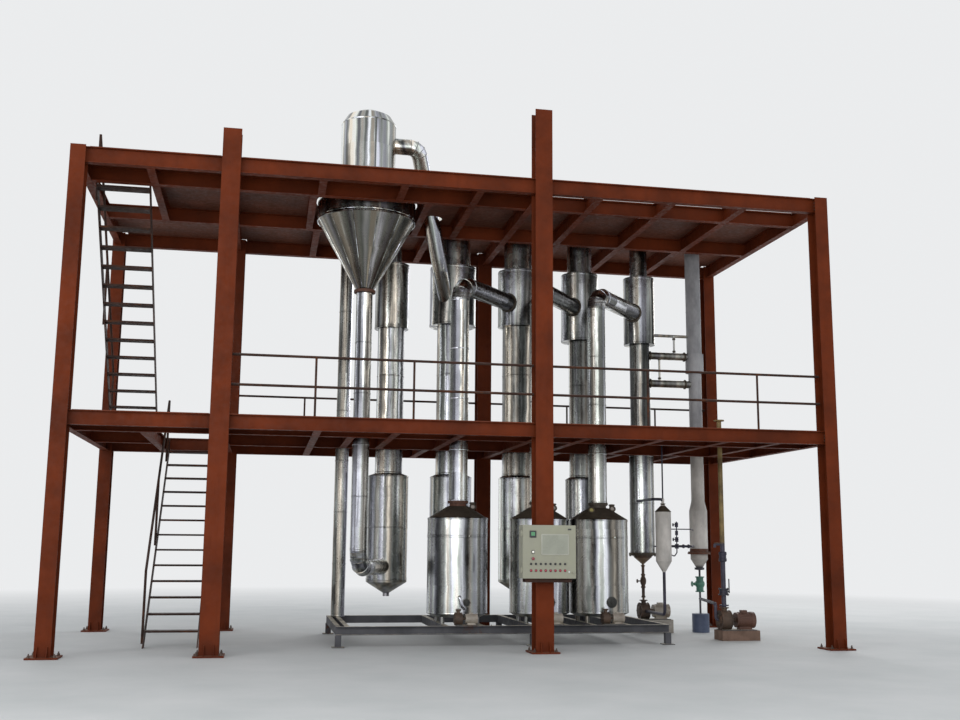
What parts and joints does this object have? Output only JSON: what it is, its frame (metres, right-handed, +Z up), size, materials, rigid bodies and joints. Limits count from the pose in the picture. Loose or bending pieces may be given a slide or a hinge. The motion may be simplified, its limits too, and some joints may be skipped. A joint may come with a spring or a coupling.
{
  "type": "multiple effect evaporator plant",
  "caption": "Falling film evaporator train with clad columns, vapour separators, condensers, pumps and ducts in a two-floor steel frame with stairs.",
  "frame": {"origin": "floor level at the middle of the footprint", "axes": "+Z up, +X along the row of vessels towards the condensers, front of the plant faces -Y"},
  "size_m": [12.84, 5.675, 9.46],
  "materials": {
    "red_oxide_steel": "dull red oxide primer, dusty",
    "deck_plate": "dull primer on chequered plate",
    "dark_steel": "dark brown paint, worn",
    "clad_sheet": "bright rolled cladding sheet with lap seams",
    "bare_stainless": "brushed stainless plate",
    "pale_vessel": "pale grey matt coat",
    "green_valve": "green cast body",
    "seal_pot_paint": "blue grey paint",
    "roof_steel": "dull grey brown sheet",
    "dark_pipe": "dark bare steel",
    "skid_steel": "dark channel section",
    "pump_iron": "rusty cast iron",
    "motor_paint": "pale motor paint",
    "concrete": "cast concrete",
    "yellow_line": "yellow pipe paint",
    "cabinet_paint": "beige grey powder coat"
  },
  "bodies": {
    "plant": {"front_columns": "red_oxide_steel", "rear_columns": "red_oxide_steel", "lower_front_beam": "red_oxide_steel", "lower_rear_beam": "red_oxide_steel", "upper_front_beam": "red_oxide_steel", "upper_rear_beam": "red_oxide_steel", "lower_inner_beams": "red_oxide_steel", "upper_inner_beams": "red_oxide_steel", "lower_cross_beams": "red_oxide_steel", "upper_cross_beams": "red_oxide_steel", "lower_deck": "deck_plate", "upper_deck": "deck_plate", "deck_handrails": "dark_steel", "stair_stringers": "dark_steel", "stair_treads": "dark_steel", "stair_handrails": "dark_steel", "calandria_1": "clad_sheet", "calandria_2": "clad_sheet", "calandria_3": "clad_sheet", "calandria_4": "clad_sheet", "calandria_heads": "clad_sheet", "calandria_bottoms": "bare_stainless", "condenser": "clad_sheet", "condenser_bottom": "bare_stainless", "condenser_heads": "clad_sheet", "vent_condenser": "pale_vessel", "vent_cone": "pale_vessel", "drain_valve": "green_valve", "seal_pot": "seal_pot_paint", "product_riser": "clad_sheet", "high_separator": "clad_sheet", "high_separator_roof": "clad_sheet", "high_separator_cone": "clad_sheet", "high_separator_downpipe": "clad_sheet", "vapour_duct_0": "clad_sheet", "vapour_duct_1": "clad_sheet", "vapour_duct_2": "clad_sheet", "vapour_duct_3": "clad_sheet", "separator_1": "clad_sheet", "separator_2": "clad_sheet", "separator_3": "clad_sheet", "separator_roofs": "roof_steel", "separator_bottoms": "bare_stainless", "crossover_ducts": "clad_sheet", "cross_pipes": "bare_stainless", "receiver": "pale_vessel", "receiver_pipes": "dark_pipe", "skid_frame": "skid_steel", "skid_feet": "skid_steel", "pump_casings": "pump_iron", "pump_motors": "motor_paint", "pump_bases": "skid_steel", "pump_plinths": "concrete", "vacuum_line": "yellow_line", "ball_valve": "dark_pipe", "control_cabinet": "cabinet_paint"},
    "door": {"cabinet_door": "cabinet_paint"},
    "lever": {"valve_lever": "dark_pipe"}
  },
  "joints": [
    {"name": "cabinet_door_hinge", "type": "hinge", "parent": "plant", "child": "door", "pos_m": [0.755, -2.8, 1.5605], "axis": [0, 0, -1], "range_deg": [0, 110]},
    {"name": "valve_lever_turn", "type": "hinge", "parent": "plant", "child": "lever", "pos_m": [5.165, -0.4875, 0.85], "axis": [1, 0, 0], "range_deg": [0, 90]}
  ]
}
